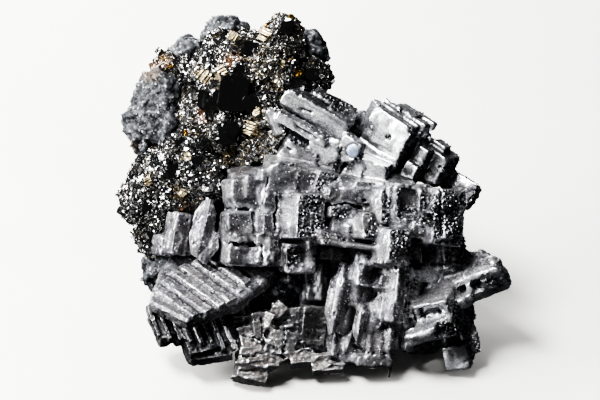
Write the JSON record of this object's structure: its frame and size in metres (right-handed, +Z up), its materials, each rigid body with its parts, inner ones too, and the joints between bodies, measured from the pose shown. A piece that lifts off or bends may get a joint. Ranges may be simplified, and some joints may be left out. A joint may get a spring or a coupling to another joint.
{
  "type": "twinned galena crystal",
  "caption": "Mineral hand specimen: blocky hopper-grown galena crystals intergrown on massive ore, with a crust of black sphalerite; rests on a flat cut base.",
  "frame": {"origin": "on the flat base, under the middle of the whole specimen's box", "axes": "+Z up from the base, +X to the right of the display face, which looks to -Y and up"},
  "size_m": [0.0786, 0.0568, 0.0611],
  "materials": {
    "galena": "bright lead-grey metallic crystal faces, frosted on top and rough at the ends",
    "sphalerite": "black-brown sparkling crust of small crystals with brassy grains and rusty stains",
    "ore": "dull bluish-grey massive ore"
  },
  "bodies": {
    "root": {"galena_cluster": "galena", "striated_galena_crystal": "galena", "galena_spears": "galena", "galena_flakes": "galena", "sphalerite_crust": "sphalerite", "massive_ore": "ore"}
  },
  "joints": []
}
